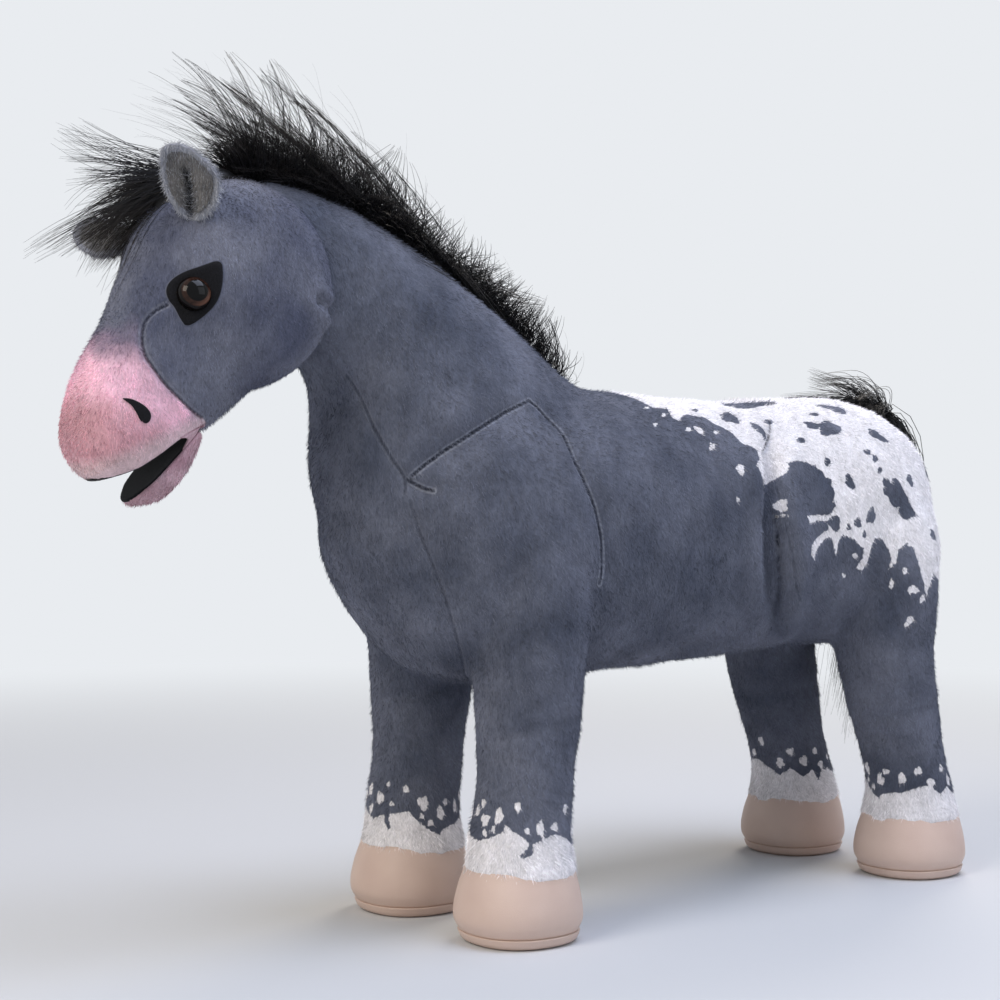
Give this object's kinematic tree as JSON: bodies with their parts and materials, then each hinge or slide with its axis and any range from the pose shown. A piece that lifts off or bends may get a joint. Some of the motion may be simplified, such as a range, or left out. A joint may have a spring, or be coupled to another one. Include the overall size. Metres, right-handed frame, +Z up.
{
  "type": "plush horse",
  "caption": "Standing plush horse with a wire frame inside, nodding head, opening mouth, flexing ears, lifting and swaying hair tail, and leatherette hooves.",
  "frame": {"origin": "on the floor, under the middle of the toy's outer box", "axes": "+Z up; the horse faces -Y; its left side is +X; it stands on four hooves"},
  "size_m": [0.2446, 0.8676, 0.6363],
  "materials": {
    "coat_plush": "short-pile printed plush over polyester filling",
    "muzzle_plush": "short-pile pink plush over polyester filling",
    "hair_pile": "long black hair pile",
    "black_felt": "black felt and flock",
    "ear_fleece": "grey fleece with a longer pile",
    "hoof_leatherette": "tan leatherette, semi-matt, over polyester filling",
    "frame_wire": "drawn steel wire",
    "binding_tape": "black cloth tape wound solid",
    "sole_board": "pressed fibre board",
    "eye_gloss": "brown and black toy eye, polished",
    "washer_plastic": "white lock washer"
  },
  "bodies": {
    "horse_body": {"torso": "coat_plush", "neck": "coat_plush", "mane": "hair_pile", "front_leg_left": "coat_plush", "front_leg_right": "coat_plush", "front_hoof_left": "hoof_leatherette", "front_hoof_right": "hoof_leatherette", "front_board_left": "sole_board", "front_board_right": "sole_board", "front_sole_left": "hoof_leatherette", "front_sole_right": "hoof_leatherette", "hind_leg_left": "coat_plush", "hind_leg_right": "coat_plush", "hind_hoof_left": "hoof_leatherette", "hind_hoof_right": "hoof_leatherette", "hind_board_left": "sole_board", "hind_board_right": "sole_board", "hind_sole_left": "hoof_leatherette", "hind_sole_right": "hoof_leatherette", "front_leg_wire": "frame_wire", "hind_leg_wire": "frame_wire", "spine_wire": "frame_wire", "front_binding": "binding_tape", "rear_binding": "binding_tape"},
    "head": {"head": "coat_plush", "muzzle": "muzzle_plush", "palate_lining": "black_felt", "nostril_left": "black_felt", "nostril_right": "black_felt", "eye_left": "eye_gloss", "eye_right": "eye_gloss", "eye_patch_left": "black_felt", "eye_patch_right": "black_felt", "eye_washer_left": "washer_plastic", "eye_washer_right": "washer_plastic", "forelock": "hair_pile"},
    "lower_lip": {"lower_lip": "muzzle_plush", "lip_lining": "black_felt"},
    "left_ear": {"ear_left": "coat_plush", "ear_lining_left": "ear_fleece"},
    "right_ear": {"ear_right": "coat_plush", "ear_lining_right": "ear_fleece"},
    "dock": {"tail_dock": "coat_plush"},
    "tail": {"tail_hair": "hair_pile"}
  },
  "joints": [
    {"name": "head_nod", "type": "hinge", "parent": "horse_body", "child": "head", "pos_m": [0, -0.30837, 0.4925], "axis": [1, 0, 0], "range_deg": [-10, 12]},
    {"name": "mouth", "type": "hinge", "parent": "head", "child": "lower_lip", "pos_m": [0, -0.3408, 0.38982], "axis": [1, 0, 0], "range_deg": [-15, 12]},
    {"name": "left_ear_flex", "type": "hinge", "parent": "head", "child": "left_ear", "pos_m": [0.041, -0.35609, 0.53141], "axis": [0.5999, 0.7998, -0.02], "range_deg": [-12, 12]},
    {"name": "right_ear_flex", "type": "hinge", "parent": "head", "child": "right_ear", "pos_m": [-0.041, -0.35609, 0.53141], "axis": [-0.2467, 0.2629, 0.9328], "range_deg": [-12, 12]},
    {"name": "tail_lift", "type": "hinge", "parent": "horse_body", "child": "dock", "pos_m": [0, 0.37519, 0.38504], "axis": [1, 0, 0], "range_deg": [0, 30]},
    {"name": "tail_sway", "type": "hinge", "parent": "dock", "child": "tail", "pos_m": [0, 0.38788, 0.41223], "axis": [0, 1, 0], "range_deg": [-12, 12]}
  ]
}
